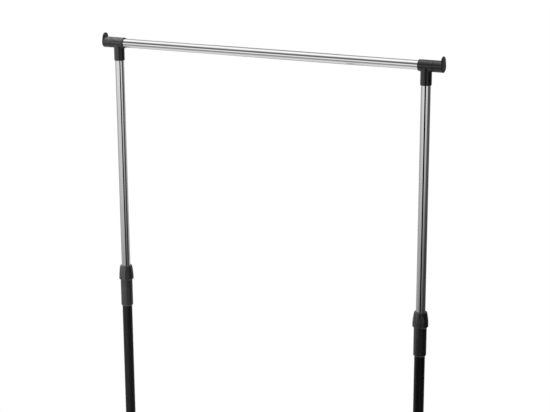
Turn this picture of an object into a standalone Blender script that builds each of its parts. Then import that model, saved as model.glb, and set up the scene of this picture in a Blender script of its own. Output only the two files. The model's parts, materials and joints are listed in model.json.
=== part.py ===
"""Clothing rack on casters: chrome rail and telescopic posts over a black tube base."""
import math

import bmesh
import bpy
from mathutils import Matrix

# Overall layout, in metres
POST_SPACING = 0.810
RAIL_HEIGHT = 1.472
LOCK_HEIGHT = 0.900
FOOT_TUBE_LENGTH = 0.380
BAR_INSET = 0.042

# Clearances: pieces that seat on each other, and the telescoping posts
SEAT_GAP = 0.0003
TELESCOPE_GAP = 0.0005

# Tubes: chrome rail and upper posts, black lower posts and feet, black base bars
CHROME_DIA = 0.022
CHROME_WALL = 0.001
BLACK_WALL = 0.001
BAR_DIA = 0.019
BAR_WALL = 0.001
POST_OVERLAP = 0.205

# Guide bush in the lower end of each upper post
BUSH_PLUG_LENGTH = 0.015
BUSH_FLANGE = 0.004
BUSH_WALL = 0.0027

# T connectors between rail and upper posts
CONNECTOR_WALL = 0.00195
LEG_WALL = 0.00165
LEG_DROP = 0.0438
CONNECTOR_INNER_REACH = 0.0175
CONNECTOR_OUTER_REACH = 0.018
POST_WEB = 0.0014
CONNECTOR_EDGE = 0.0006

# End hooks: plug in the rail, round stub, upright tongue plate
HOOK_PLUG_LENGTH = 0.014
HOOK_STUB_LENGTH = 0.0197
TONGUE_THICKNESS = 0.004
TONGUE_RISE = 0.0230
TONGUE_TIP_RADIUS = 0.0105
TONGUE_MARGIN = 0.0002
TONGUE_EDGE = 0.001

# Twist locks: sleeve on the lower post, split collet, turning nut
SLEEVE_WALL = 0.0023
SLEEVE_LENGTH = 0.0695
SLEEVE_EDGE = 0.0026
SLEEVE_LIP = 0.0008
POST_STOP = 0.0073
COLLET_WALL = 0.0023
COLLET_TIP_WALL = 0.0011
COLLET_HEIGHT = 0.0097
COLLET_SLIT = 0.002
NECK_LIP = 0.0004
NUT_HEIGHT = 0.0371
NUT_WALL = 0.00435
NUT_TOP_WEB = 0.0047
NUT_TOP_RIM = 0.0035
NUT_SKIRT_EDGE = 0.0026
NUT_SKIRT_HEIGHT = 0.0050

# Hubs that stand the posts on the feet
HUB_WALL = 0.0032
HUB_LENGTH = 0.060
HUB_EDGE = 0.0015
HUB_WEB = 0.0022
POST_SOCKET_WALL = 0.0027
POST_SOCKET_DEPTH = 0.038

# Joints that carry the base bars
JOINT_WALL = 0.0027
JOINT_LENGTH = 0.040
JOINT_WEB = 0.0032
BAR_SOCKET_WALL = 0.0024
BAR_SOCKET_DEPTH = 0.028

# Foot end caps with their caster sockets
CAP_WALL = 0.0017
CAP_GRIP = 0.018
CAP_NOSE = 0.016
CAP_EDGE = 0.003
CAP_BOSS_WALL = 0.0062
CAP_BOSS_STEP = 0.0005
STEM_INSET = 0.016

# Twin-wheel casters
WHEEL_DIA = 0.050
WHEEL_WIDTH = 0.012
WHEEL_EDGE = 0.002
WHEEL_SIDE_GAP = 0.0005
WHEEL_HUB_RADIUS = 0.007
WHEEL_RIM = 0.006
WHEEL_DISH = 0.0035
HUB_CAP_SINK = 0.001
HUB_CAP_WALL = 0.002
AXLE_DIA = 0.006
TRAIL = 0.020
CASTER_WEB = 0.013
FENDER_GAP = 0.0015
FENDER_WALL = 0.0025
FENDER_COVER = 0.008
SKIRT_DROP = 0.009
SWIVEL_BOSS_RISE = 0.004
SWIVEL_BOSS_WALL = 0.0047
STEM_PIN_DIA = 0.008
STEM_PIN_DEPTH = 0.034
STEM_FLANGE_WIDTH = 0.004
STEM_FLANGE = 0.0014
STEM_GRIP_DIA = 0.011
STEM_GRIP_LENGTH = 0.021

# Self-tapping screws on the back of the plastic fittings
SCREW_DIA = 0.004
SCREW_LENGTH = 0.008
SCREW_HEAD_DIA = 0.0076
SCREW_HEAD_HEIGHT = 0.0024
SCREW_HEAD_EDGE = 0.0010
LEG_SCREW_DROP = 0.032
HUB_SCREW_RISE = 0.019

# Facets around a full turn
ROUND_STEPS = 20
SMALL_STEPS = 16
TONGUE_ARC_STEPS = 8
NUT_BELL_STEPS = 4
SMOOTH_ANGLE = math.radians(40)

# How far a cutting tool runs past the face it opens
OVERCUT = 0.005

# Points closer than this are one point
MERGE = 1e-6

# Finish: base colour, roughness, metallic
FINISHES = {
    "chrome": ((0.80, 0.80, 0.81), 0.08, 1.0),
    "moulded_black": ((0.030, 0.030, 0.032), 0.42, 0.0),
    "powder_black": ((0.012, 0.012, 0.012), 0.50, 0.0),
    "nylon": ((0.050, 0.050, 0.052), 0.48, 0.0),
    "zinc": ((0.62, 0.62, 0.60), 0.34, 1.0),
}

SIDES = (("left", -1), ("right", 1))
ENDS = (("front", -1), ("rear", 1))
ALONG_X = Matrix.Rotation(math.pi / 2, 4, "Y")
ALONG_Y = Matrix.Rotation(-math.pi / 2, 4, "X")
UPRIGHT = Matrix.Identity(4)


def fit(radius):
    """Bore radius that seats a round piece."""
    return radius + SEAT_GAP


# Radii that follow from the tubes
CHROME_R = CHROME_DIA / 2
CHROME_BORE_R = CHROME_R - CHROME_WALL
BLACK_BORE_R = CHROME_R + TELESCOPE_GAP
BLACK_R = BLACK_BORE_R + BLACK_WALL
BAR_R = BAR_DIA / 2
CONNECTOR_R = fit(CHROME_R) + CONNECTOR_WALL
LEG_R = fit(CHROME_R) + LEG_WALL
SLEEVE_R = fit(BLACK_R) + SLEEVE_WALL
COLLET_R = fit(CHROME_R) + COLLET_WALL
COLLET_TIP_R = fit(CHROME_R) + COLLET_TIP_WALL
NECK_R = COLLET_R + NECK_LIP
NUT_R = fit(NECK_R) + NUT_WALL
NUT_HOLE_R = BLACK_BORE_R
NUT_TOP_R = NUT_HOLE_R + NUT_TOP_RIM
HUB_R = fit(BLACK_R) + HUB_WALL
POST_SOCKET_R = fit(BLACK_R) + POST_SOCKET_WALL
JOINT_R = fit(BLACK_R) + JOINT_WALL
BAR_SOCKET_R = fit(BAR_R) + BAR_SOCKET_WALL
CAP_R = fit(BLACK_R) + CAP_WALL
STEM_PIN_R = STEM_PIN_DIA / 2
STEM_GRIP_R = STEM_GRIP_DIA / 2
CAP_BOSS_R = fit(STEM_GRIP_R) + CAP_BOSS_WALL
WHEEL_R = WHEEL_DIA / 2
AXLE_R = AXLE_DIA / 2
WELL_R = WHEEL_R + FENDER_GAP
FENDER_R = WELL_R + FENDER_WALL
SWIVEL_BOSS_R = fit(STEM_PIN_R) + SWIVEL_BOSS_WALL
SCREW_R = SCREW_DIA / 2

# Heights above the floor, from the wheels up
AXLE_Z = WHEEL_R
HOOD_TOP_Z = AXLE_Z + FENDER_R + SWIVEL_BOSS_RISE
CAP_BOSS_Z = HOOD_TOP_Z + STEM_FLANGE + 2 * SEAT_GAP
FOOT_Z = CAP_BOSS_Z + CAP_R + CAP_BOSS_STEP
POST_SEAT_Z = FOOT_Z + fit(BLACK_R) + HUB_WEB
NUT_Z = LOCK_HEIGHT - NUT_HEIGHT
SHOULDER_Z = NUT_Z - SEAT_GAP
SLEEVE_Z = SHOULDER_Z - SLEEVE_LENGTH
LOWER_POST_TOP_Z = SHOULDER_Z - POST_STOP - SEAT_GAP
COLLET_TOP_Z = LOCK_HEIGHT - NUT_TOP_WEB - SEAT_GAP
COLLET_Z = COLLET_TOP_Z - COLLET_HEIGHT
NECK_TOP_Z = COLLET_Z - SEAT_GAP
UPPER_POST_Z = LOWER_POST_TOP_Z - POST_OVERLAP

# Places along the rail and the feet
POST_X = POST_SPACING / 2
POST_TOP_DROP = fit(CHROME_R) + POST_WEB
RAIL_END = POST_X + CONNECTOR_OUTER_REACH
TUBE_END = FOOT_TUBE_LENGTH / 2
STEM_Y = TUBE_END + STEM_INSET
BAR_Y = TUBE_END - CAP_GRIP - BAR_INSET - JOINT_LENGTH / 2
BAR_SEAT = fit(BLACK_R) + JOINT_WEB


def rod(radius, low, high, edge=0.0):
    """Half outline of a solid rod, from the axis at its top to the axis at its bottom."""
    if edge == 0:
        return [(0, high), (radius, high), (radius, low), (0, low)]
    return [
        (0, high), (radius - edge, high), (radius, high - edge),
        (radius, low + edge), (radius - edge, low), (0, low),
    ]


def pipe(radius, bore, low, high):
    """Closed outline of a plain tube wall."""
    return [(radius, high), (radius, low), (bore, low), (bore, high)]


def spun(outline, steps=ROUND_STEPS, turn=0.0):
    """Mesh turned about Z from (radius, height) points; an outline off the axis is closed."""
    bm = bmesh.new()
    points = [bm.verts.new((r * math.cos(turn), r * math.sin(turn), z)) for r, z in outline]
    pairs = list(zip(points, points[1:]))
    if outline[0][0] > 0:
        pairs.append((points[-1], points[0]))
    edges = [bm.edges.new(pair) for pair in pairs]
    bmesh.ops.spin(
        bm, geom=points + edges, cent=(0, 0, 0), axis=(0, 0, 1),
        angle=2 * math.pi, steps=steps, use_merge=True,
    )
    bmesh.ops.remove_doubles(bm, verts=bm.verts, dist=MERGE)
    return finished(bm)


def block(low, high):
    """Box mesh between two corners."""
    bm = bmesh.new()
    bmesh.ops.create_cube(bm, size=1)
    for vert in bm.verts:
        vert.co = [a + (b - a) * (c + 0.5) for a, b, c in zip(low, high, vert.co)]
    return finished(bm)


def finished(bm):
    """Mesh from a bmesh, with its faces pointing out."""
    bmesh.ops.recalc_face_normals(bm, faces=bm.faces)
    mesh = bpy.data.meshes.new("shape")
    bm.to_mesh(mesh)
    bm.free()
    return mesh


def boolean(mesh, tool, operation, placement):
    """Mesh joined with a placed tool mesh, or cut by it."""
    body = bpy.data.objects.new("boolean_body", mesh)
    cutter = bpy.data.objects.new("boolean_tool", tool)
    cutter.matrix_world = placement
    for obj in (body, cutter):
        bpy.context.collection.objects.link(obj)
    modifier = body.modifiers.new("boolean", "BOOLEAN")
    modifier.operation = operation
    modifier.object = cutter
    depsgraph = bpy.context.evaluated_depsgraph_get()
    result = bpy.data.meshes.new_from_object(body.evaluated_get(depsgraph))
    for obj in (body, cutter):
        bpy.data.objects.remove(obj)
    return result


def joined(mesh, tool, placement=UPRIGHT):
    return boolean(mesh, tool, "UNION", placement)


def cut(mesh, tool, placement=UPRIGHT):
    return boolean(mesh, tool, "DIFFERENCE", placement)


def placed(mesh, placement):
    """Mesh with a placement worked into its points."""
    mesh.transform(placement)
    return mesh


def at(x=0.0, y=0.0, z=0.0):
    return Matrix.Translation((x, y, z))


def screw_hole(surface):
    """Cutter for a screw that enters from the back, its flats square to the wall's edges."""
    return spun(rod(fit(SCREW_R), 0, surface + OVERCUT), SMALL_STEPS, math.pi / SMALL_STEPS)


def rail_mesh():
    """Chrome rail along X, with a screw hole at the back of each end."""
    mesh = placed(spun(pipe(CHROME_R, CHROME_BORE_R, -RAIL_END, RAIL_END)), ALONG_X)
    for _, side in SIDES:
        mesh = cut(mesh, screw_hole(CHROME_R), at(x=side * POST_X) @ ALONG_Y)
    return mesh


def connector_mesh(side):
    """T connector around the rail axis: open sleeve along X, leg down over the post."""
    low, high = sorted((-side * CONNECTOR_INNER_REACH, side * CONNECTOR_OUTER_REACH))
    mesh = placed(spun(rod(CONNECTOR_R, low, high, CONNECTOR_EDGE)), ALONG_X)
    mesh = joined(mesh, spun(rod(LEG_R, -LEG_DROP, 0, CONNECTOR_EDGE)))
    mesh = cut(mesh, spun(rod(fit(CHROME_R), low - OVERCUT, high + OVERCUT)), ALONG_X)
    mesh = cut(mesh, spun(rod(fit(CHROME_R), -LEG_DROP - OVERCUT, -POST_TOP_DROP)))
    mesh = cut(mesh, screw_hole(CONNECTOR_R), ALONG_Y)
    return cut(mesh, screw_hole(LEG_R), at(z=-LEG_SCREW_DROP) @ ALONG_Y)


def tongue_outline():
    """Outline of the tongue plate: the stub's circle drawn up to a smaller round tip."""
    base_r = CONNECTOR_R + TONGUE_MARGIN
    tip_z = TONGUE_RISE - TONGUE_TIP_RADIUS
    lean = math.asin((base_r - TONGUE_TIP_RADIUS) / tip_z)
    outline = []
    for centre, radius, start, sweep in (
        (0, base_r, math.pi - lean, math.pi + 2 * lean),
        (tip_z, TONGUE_TIP_RADIUS, lean, math.pi - 2 * lean),
    ):
        for step in range(TONGUE_ARC_STEPS + 1):
            angle = start + sweep * step / TONGUE_ARC_STEPS
            outline.append((radius * math.cos(angle), centre + radius * math.sin(angle)))
    return outline


def hook_mesh():
    """End hook from the connector's end face: plug inwards, stub outwards, tongue at the end."""
    plug_r = CHROME_BORE_R - SEAT_GAP
    body = [
        (0, HOOK_STUB_LENGTH + TONGUE_THICKNESS / 2), (CONNECTOR_R, HOOK_STUB_LENGTH + TONGUE_THICKNESS / 2),
        (CONNECTOR_R, 0), (plug_r, 0), (plug_r, -HOOK_PLUG_LENGTH), (0, -HOOK_PLUG_LENGTH),
    ]
    mesh = placed(spun(body), ALONG_X)
    bm = bmesh.new()
    face = bm.faces.new([bm.verts.new((HOOK_STUB_LENGTH, y, z)) for y, z in tongue_outline()])
    grown = bmesh.ops.extrude_face_region(bm, geom=[face])["geom"]
    outer = [item for item in grown if isinstance(item, bmesh.types.BMVert)]
    bmesh.ops.translate(bm, verts=outer, vec=(TONGUE_THICKNESS, 0, 0))
    rim = [edge for edge in bm.edges if all(vert in outer for vert in edge.verts)]
    bmesh.ops.bevel(bm, geom=rim, offset=TONGUE_EDGE, segments=1, affect="EDGES")
    return joined(mesh, finished(bm))


def upper_post_mesh():
    """Chrome upper post below the rail axis, with its screw hole at the back."""
    low = UPPER_POST_Z - RAIL_HEIGHT
    mesh = spun(pipe(CHROME_R, CHROME_BORE_R, low, -POST_TOP_DROP - SEAT_GAP))
    return cut(mesh, screw_hole(CHROME_R), at(z=-LEG_SCREW_DROP) @ ALONG_Y)


def bush_mesh():
    """Guide bush below the upper post's cut end, with its plug inside the tube."""
    plug_r = CHROME_BORE_R - SEAT_GAP
    flange_r = BLACK_BORE_R - SEAT_GAP
    return spun([
        (plug_r, BUSH_PLUG_LENGTH), (plug_r, -SEAT_GAP), (flange_r, -SEAT_GAP),
        (flange_r, -BUSH_FLANGE), (plug_r - BUSH_WALL, -BUSH_FLANGE), (plug_r - BUSH_WALL, BUSH_PLUG_LENGTH),
    ])


def lower_post_mesh():
    """Black lower post above its seat in the hub, with its screw hole at the back."""
    mesh = spun(pipe(BLACK_R, BLACK_BORE_R, SEAT_GAP, LOWER_POST_TOP_Z - POST_SEAT_Z))
    return cut(mesh, screw_hole(BLACK_R), at(z=HUB_SCREW_RISE) @ ALONG_Y)


def sleeve_mesh():
    """Lock sleeve from its lower edge: long grip on the post, then the neck inside the nut."""
    neck_top = NECK_TOP_Z - SLEEVE_Z
    stop = SLEEVE_LENGTH - POST_STOP
    return spun([
        (NECK_R, neck_top), (NECK_R, SLEEVE_LENGTH), (SLEEVE_R, SLEEVE_LENGTH), (SLEEVE_R, SLEEVE_EDGE),
        (fit(BLACK_R) + SLEEVE_LIP, 0), (fit(BLACK_R), 0), (fit(BLACK_R), stop),
        (fit(CHROME_R), stop), (fit(CHROME_R), neck_top),
    ])


def collet_mesh():
    """Split collet ring that grips the upper post, tapered to the nut's cone."""
    bore = fit(CHROME_R)
    mesh = spun([(COLLET_TIP_R, COLLET_HEIGHT), (COLLET_R, 0), (bore, 0), (bore, COLLET_HEIGHT)])
    half_slit = COLLET_SLIT / 2
    past = (half_slit, COLLET_R + OVERCUT, COLLET_HEIGHT + OVERCUT)
    return cut(mesh, block((-half_slit, 0, -OVERCUT), past))


def nut_mesh():
    """Lock nut from its lower edge: bell outside, bore over the neck, cone over the collet."""
    bore = fit(NECK_R)
    cone_low = COLLET_Z - NUT_Z
    cone_high = NUT_HEIGHT - NUT_TOP_WEB
    bell = []
    for step in range(NUT_BELL_STEPS + 1):
        above = 1 - step / NUT_BELL_STEPS
        radius = NUT_R - (NUT_R - NUT_TOP_R) * above ** 2
        bell.append((radius, NUT_SKIRT_HEIGHT + (NUT_HEIGHT - NUT_SKIRT_HEIGHT) * above))
    return spun(bell + [
        (NUT_R, NUT_SKIRT_EDGE), (NUT_R - NUT_SKIRT_EDGE, 0), (bore, 0), (bore, cone_low),
        (fit(COLLET_TIP_R), cone_high), (NUT_HOLE_R, cone_high), (NUT_HOLE_R, NUT_HEIGHT),
    ])


def foot_tube_mesh():
    return placed(spun(pipe(BLACK_R, BLACK_BORE_R, -TUBE_END, TUBE_END)), ALONG_Y)


def hub_mesh():
    """Hub around the foot axis: sleeve along Y and an upright socket for the post."""
    seat = POST_SEAT_Z - FOOT_Z
    mouth = seat + POST_SOCKET_DEPTH
    mesh = placed(spun(rod(HUB_R, -HUB_LENGTH / 2, HUB_LENGTH / 2, HUB_EDGE)), ALONG_Y)
    mesh = joined(mesh, spun(rod(POST_SOCKET_R, 0, mouth, HUB_EDGE)))
    mesh = cut(mesh, spun(rod(fit(BLACK_R), -HUB_LENGTH, HUB_LENGTH)), ALONG_Y)
    mesh = cut(mesh, spun(rod(fit(BLACK_R), seat, mouth + OVERCUT)))
    return cut(mesh, screw_hole(POST_SOCKET_R), at(z=seat + HUB_SCREW_RISE) @ ALONG_Y)


def bar_joint_mesh():
    """Joint around the foot axis: sleeve along Y and a socket towards +X for a base bar."""
    mouth = BAR_SEAT + BAR_SOCKET_DEPTH
    mesh = placed(spun(rod(JOINT_R, -JOINT_LENGTH / 2, JOINT_LENGTH / 2, HUB_EDGE)), ALONG_Y)
    mesh = joined(mesh, spun(rod(BAR_SOCKET_R, 0, mouth, HUB_EDGE)), ALONG_X)
    mesh = cut(mesh, spun(rod(fit(BLACK_R), -JOINT_LENGTH, JOINT_LENGTH)), ALONG_Y)
    return cut(mesh, spun(rod(fit(BAR_R), BAR_SEAT, mouth + OVERCUT)), ALONG_X)


def base_bar_mesh():
    end = POST_X - BAR_SEAT - SEAT_GAP
    return placed(spun(pipe(BAR_R, BAR_R - BAR_WALL, -end, end)), ALONG_X)


def end_cap_mesh():
    """Foot end cap around the stem axis at foot height, its nose towards +Y."""
    boss_low = CAP_BOSS_Z - FOOT_Z
    mesh = placed(spun(rod(CAP_R, -STEM_INSET - CAP_GRIP, CAP_NOSE, CAP_EDGE)), ALONG_Y)
    mesh = joined(mesh, spun(rod(CAP_BOSS_R, boss_low, 0)))
    tube_seat = rod(fit(BLACK_R), -STEM_INSET - CAP_GRIP - OVERCUT, -STEM_INSET + SEAT_GAP)
    mesh = cut(mesh, spun(tube_seat), ALONG_Y)
    stem_top = boss_low + STEM_GRIP_LENGTH + SEAT_GAP
    return cut(mesh, spun(rod(fit(STEM_GRIP_R), boss_low - OVERCUT, stem_top), SMALL_STEPS))


def stem_mesh():
    """Caster stem from the hood's top face: pin down, flange, grip sleeve up into the cap."""
    flange_r = STEM_GRIP_R + STEM_FLANGE_WIDTH
    flange_top = SEAT_GAP + STEM_FLANGE
    grip_top = CAP_BOSS_Z - HOOD_TOP_Z + STEM_GRIP_LENGTH
    pin_low = SEAT_GAP - STEM_PIN_DEPTH
    return spun([
        (0, grip_top), (STEM_GRIP_R, grip_top), (STEM_GRIP_R, flange_top), (flange_r, flange_top),
        (flange_r, SEAT_GAP), (STEM_PIN_R, SEAT_GAP), (STEM_PIN_R, pin_low), (0, pin_low),
    ], SMALL_STEPS)


def hood_mesh():
    """Caster hood around the swivel axis at floor height, its wheels trailing towards +Y."""
    half_width = CASTER_WEB / 2 + FENDER_COVER
    axle = at(y=TRAIL, z=AXLE_Z) @ ALONG_X
    mesh = placed(spun(rod(FENDER_R, -half_width, half_width)), axle)
    mesh = joined(mesh, spun(rod(SWIVEL_BOSS_R, AXLE_Z, HOOD_TOP_Z)))
    for well in ((CASTER_WEB / 2, half_width + OVERCUT), (-half_width - OVERCUT, -CASTER_WEB / 2)):
        mesh = cut(mesh, spun(rod(WELL_R, *well)), axle)
    reach = FENDER_R + OVERCUT
    below = block((-reach, TRAIL - reach, -reach), (reach, TRAIL + reach, AXLE_Z - SKIRT_DROP))
    mesh = cut(mesh, below)
    mesh = cut(mesh, spun(rod(fit(AXLE_R), -half_width, half_width), SMALL_STEPS), axle)
    stem_bore = rod(fit(STEM_PIN_R), HOOD_TOP_Z - STEM_PIN_DEPTH, HOOD_TOP_Z + OVERCUT)
    return cut(mesh, spun(stem_bore, SMALL_STEPS))


def bore_depth():
    """Depth of a wheel's blind axle bore from its inner face."""
    return WHEEL_WIDTH - HUB_CAP_SINK - HUB_CAP_WALL


def axle_mesh():
    half = CASTER_WEB / 2 + WHEEL_SIDE_GAP + bore_depth() - SEAT_GAP
    return placed(spun(rod(AXLE_R, -half, half), SMALL_STEPS), ALONG_X)


def wheel_mesh():
    """Wheel from its inner face towards +X, dished outside, with a flat of its tread facing down."""
    rim_r = WHEEL_R - WHEEL_RIM
    across_corners = WHEEL_R / math.cos(math.pi / ROUND_STEPS)
    cap_z = WHEEL_WIDTH - HUB_CAP_SINK
    dish_z = WHEEL_WIDTH - WHEEL_DISH
    outline = [
        (0, cap_z), (WHEEL_HUB_RADIUS, cap_z), (WHEEL_HUB_RADIUS, dish_z), (rim_r, dish_z),
        (rim_r, WHEEL_WIDTH), (across_corners - WHEEL_EDGE, WHEEL_WIDTH),
        (across_corners, WHEEL_WIDTH - WHEEL_EDGE), (across_corners, WHEEL_EDGE),
        (across_corners - WHEEL_EDGE, 0), (fit(AXLE_R), 0), (fit(AXLE_R), bore_depth()), (0, bore_depth()),
    ]
    return placed(spun(outline, turn=math.pi / ROUND_STEPS), ALONG_X)


def screw_mesh():
    """Pan-head screw along +Y from the surface it enters, its shank towards -Y."""
    head_r = SCREW_HEAD_DIA / 2
    head_top = SEAT_GAP + SCREW_HEAD_HEIGHT
    outline = [
        (0, head_top), (head_r - SCREW_HEAD_EDGE, head_top), (head_r, head_top - SCREW_HEAD_EDGE),
        (head_r, SEAT_GAP), (SCREW_R, SEAT_GAP), (SCREW_R, SCREW_R - SCREW_LENGTH), (0, -SCREW_LENGTH),
    ]
    return placed(spun(outline, SMALL_STEPS), ALONG_Y)


def finish_material(finish):
    """Principled material for one finish, made once."""
    existing = bpy.data.materials.get(finish)
    if existing:
        return existing
    colour, roughness, metallic = FINISHES[finish]
    material = bpy.data.materials.new(finish)
    material.use_nodes = True
    shader = material.node_tree.nodes["Principled BSDF"]
    shader.inputs["Base Color"].default_value = (*colour, 1)
    shader.inputs["Roughness"].default_value = roughness
    shader.inputs["Metallic"].default_value = metallic
    material.diffuse_color = (*colour, 1)
    return material


def frame_empty(name, location, turn=0.0, parent=None):
    """Empty that carries a group of pieces."""
    empty = bpy.data.objects.new(name, None)
    empty.location = location
    empty.rotation_euler = (0, 0, turn)
    empty.parent = parent
    bpy.context.collection.objects.link(empty)
    return empty


def piece(name, mesh, finish, parent, location=(0, 0, 0), turn=0.0):
    """Named sub-part with a copy of a mesh, turned about its upright axis."""
    own = mesh.copy()
    own.name = name
    own.shade_smooth()
    own.set_sharp_from_angle(angle=SMOOTH_ANGLE)
    own.materials.clear()
    own.materials.append(finish_material(finish))
    obj = bpy.data.objects.new(name, own)
    obj.parent = parent
    obj.location = location
    obj.rotation_euler = (0, 0, turn)
    bpy.context.collection.objects.link(obj)
    return obj


def outward(side):
    """Turn that points a piece made towards +X, or +Y, to the given side."""
    return 0.0 if side > 0 else math.pi


def build_upper_frame():
    """Everything that rises with the rail: rail, connectors, hooks, upper posts, bushes."""
    frame = frame_empty("upper_frame", (0, 0, RAIL_HEIGHT))
    hook, post, bush, screw = hook_mesh(), upper_post_mesh(), bush_mesh(), screw_mesh()
    piece("hanging_rail", rail_mesh(), "chrome", frame)
    for name, side in SIDES:
        x = side * POST_X
        piece(f"{name}_rail_connector", connector_mesh(side), "moulded_black", frame, (x, 0, 0))
        hook_x = side * (RAIL_END + SEAT_GAP)
        piece(f"{name}_end_hook", hook, "moulded_black", frame, (hook_x, 0, 0), outward(side))
        piece(f"{name}_upper_post", post, "chrome", frame, (x, 0, 0))
        piece(f"{name}_post_bush", bush, "nylon", frame, (x, 0, UPPER_POST_Z - RAIL_HEIGHT))
        piece(f"{name}_rail_screw", screw, "zinc", frame, (x, CONNECTOR_R, 0))
        piece(f"{name}_post_screw", screw, "zinc", frame, (x, LEG_R, -LEG_SCREW_DROP))


def build_locks(base):
    """Twist locks at the top of the lower posts."""
    sleeve, collet, nut = sleeve_mesh(), collet_mesh(), nut_mesh()
    for name, side in SIDES:
        x = side * POST_X
        piece(f"{name}_lock_sleeve", sleeve, "moulded_black", base, (x, 0, SLEEVE_Z))
        piece(f"{name}_collet", collet, "nylon", base, (x, 0, COLLET_Z))
        piece(f"{name}_lock_nut", nut, "moulded_black", base, (x, 0, NUT_Z))


def build_base(base):
    """Lower posts, hubs, feet, base bars and their joints."""
    post, hub, foot, screw = lower_post_mesh(), hub_mesh(), foot_tube_mesh(), screw_mesh()
    joint, bar = bar_joint_mesh(), base_bar_mesh()
    for name, side in SIDES:
        x = side * POST_X
        piece(f"{name}_lower_post", post, "powder_black", base, (x, 0, POST_SEAT_Z))
        piece(f"{name}_foot_hub", hub, "moulded_black", base, (x, 0, FOOT_Z))
        piece(f"{name}_foot_tube", foot, "powder_black", base, (x, 0, FOOT_Z))
        piece(f"{name}_hub_screw", screw, "zinc", base, (x, POST_SOCKET_R, POST_SEAT_Z + HUB_SCREW_RISE))
    for end_name, end in ENDS:
        piece(f"{end_name}_base_bar", bar, "powder_black", base, (0, end * BAR_Y, FOOT_Z))
        for name, side in SIDES:
            place = (side * POST_X, end * BAR_Y, FOOT_Z)
            piece(f"{end_name}_{name}_bar_joint", joint, "moulded_black", base, place, outward(-side))


def build_casters(base):
    """End caps, stems and twin-wheel casters at the four corners, trailing inwards."""
    cap, stem, hood, axle, wheel = end_cap_mesh(), stem_mesh(), hood_mesh(), axle_mesh(), wheel_mesh()
    wheel_x = CASTER_WEB / 2 + WHEEL_SIDE_GAP
    for end_name, end in ENDS:
        for name, side in SIDES:
            corner = f"{end_name}_{name}"
            x, y = side * POST_X, end * STEM_Y
            piece(f"{corner}_end_cap", cap, "moulded_black", base, (x, y, FOOT_Z), outward(end))
            piece(f"{corner}_caster_stem", stem, "zinc", base, (x, y, HOOD_TOP_Z))
            caster = frame_empty(f"{corner}_caster", (x, y, 0), outward(-end), base)
            piece(f"{corner}_caster_hood", hood, "moulded_black", caster)
            piece(f"{corner}_caster_axle", axle, "zinc", caster, (0, TRAIL, AXLE_Z))
            for wheel_name, facing in (("outer", 1), ("inner", -1)):
                place = (facing * side * -end * wheel_x, TRAIL, AXLE_Z)
                facing_turn = outward(facing * side * -end)
                piece(f"{corner}_{wheel_name}_wheel", wheel, "nylon", caster, place, facing_turn)


def main():
    for obj in list(bpy.data.objects):
        bpy.data.objects.remove(obj)
    build_upper_frame()
    base = frame_empty("base_frame", (0, 0, 0))
    build_locks(base)
    build_base(base)
    build_casters(base)


main()
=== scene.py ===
"""Clothing rack on casters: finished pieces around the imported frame, on a pale studio floor."""
import json
import math

import bmesh
import bpy
from mathutils import Matrix, Vector


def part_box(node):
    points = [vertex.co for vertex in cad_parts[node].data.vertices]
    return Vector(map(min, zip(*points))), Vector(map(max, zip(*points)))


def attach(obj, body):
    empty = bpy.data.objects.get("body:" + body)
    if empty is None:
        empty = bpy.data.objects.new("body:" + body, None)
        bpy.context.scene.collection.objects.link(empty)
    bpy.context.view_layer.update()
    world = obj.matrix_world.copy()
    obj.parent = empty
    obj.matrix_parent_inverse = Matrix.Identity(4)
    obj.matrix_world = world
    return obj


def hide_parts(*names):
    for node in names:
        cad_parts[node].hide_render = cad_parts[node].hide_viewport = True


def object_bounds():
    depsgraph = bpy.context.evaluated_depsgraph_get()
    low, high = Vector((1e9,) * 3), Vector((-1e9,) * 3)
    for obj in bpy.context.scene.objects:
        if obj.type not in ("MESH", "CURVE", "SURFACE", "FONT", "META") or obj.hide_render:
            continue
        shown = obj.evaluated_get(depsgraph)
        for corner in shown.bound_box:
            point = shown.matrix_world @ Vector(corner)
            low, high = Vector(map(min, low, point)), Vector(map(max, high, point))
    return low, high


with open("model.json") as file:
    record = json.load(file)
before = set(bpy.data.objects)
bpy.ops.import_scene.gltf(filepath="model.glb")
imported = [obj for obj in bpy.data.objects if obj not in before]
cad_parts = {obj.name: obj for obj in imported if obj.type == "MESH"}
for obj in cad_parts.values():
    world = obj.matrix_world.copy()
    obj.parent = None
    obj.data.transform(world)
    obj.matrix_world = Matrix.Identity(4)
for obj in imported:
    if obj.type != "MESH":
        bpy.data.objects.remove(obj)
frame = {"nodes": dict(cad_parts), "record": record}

bl_info = {
    "name": "Clothing rack on casters",
    "version": (1, 0, 0),
    "blender": (4, 5, 0),
    "location": "View3D > Sidebar > Rack",
    "description": "Finishes each piece of a rolling clothing rack and sets it on a studio floor",
    "category": "Object",
}

CAD_BOX = [list(corner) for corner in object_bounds()]
BODIES = frame["record"]["behaviour"]["bodies"]
BODY_OF = {node: body for body, nodes in BODIES.items() for node in nodes}

# Nodes of the frame
SIDES = (("left", -1), ("right", 1))
ENDS = (("front", -1), ("rear", 1))
CORNERS = [(f"{end}_{side}", depth, width) for end, depth in ENDS for side, width in SIDES]
CHROME_TUBES = ("hanging_rail", "left_upper_post", "right_upper_post")
BLACK_TUBES = (
    "left_lower_post", "right_lower_post", "left_foot_tube", "right_foot_tube",
    "front_base_bar", "rear_base_bar",
)
SCREWS = [f"{side}_{kind}_screw" for side, _ in SIDES for kind in ("rail", "post", "hub")]
INNER_PIECES = {
    "nylon": ("left_post_bush", "right_post_bush", "left_collet", "right_collet"),
    "zinc_steel": tuple(f"{corner}_caster_axle" for corner, _, _ in CORNERS),
}

# Turns that lay a piece made along Z on another axis
UPRIGHT = Matrix.Identity(4)
ALONG_X = Matrix.Rotation(math.pi / 2, 4, "Y")
ALONG_Y = Matrix.Rotation(-math.pi / 2, 4, "X")
LAID_ALONG = (ALONG_X, ALONG_Y, UPRIGHT)

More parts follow.
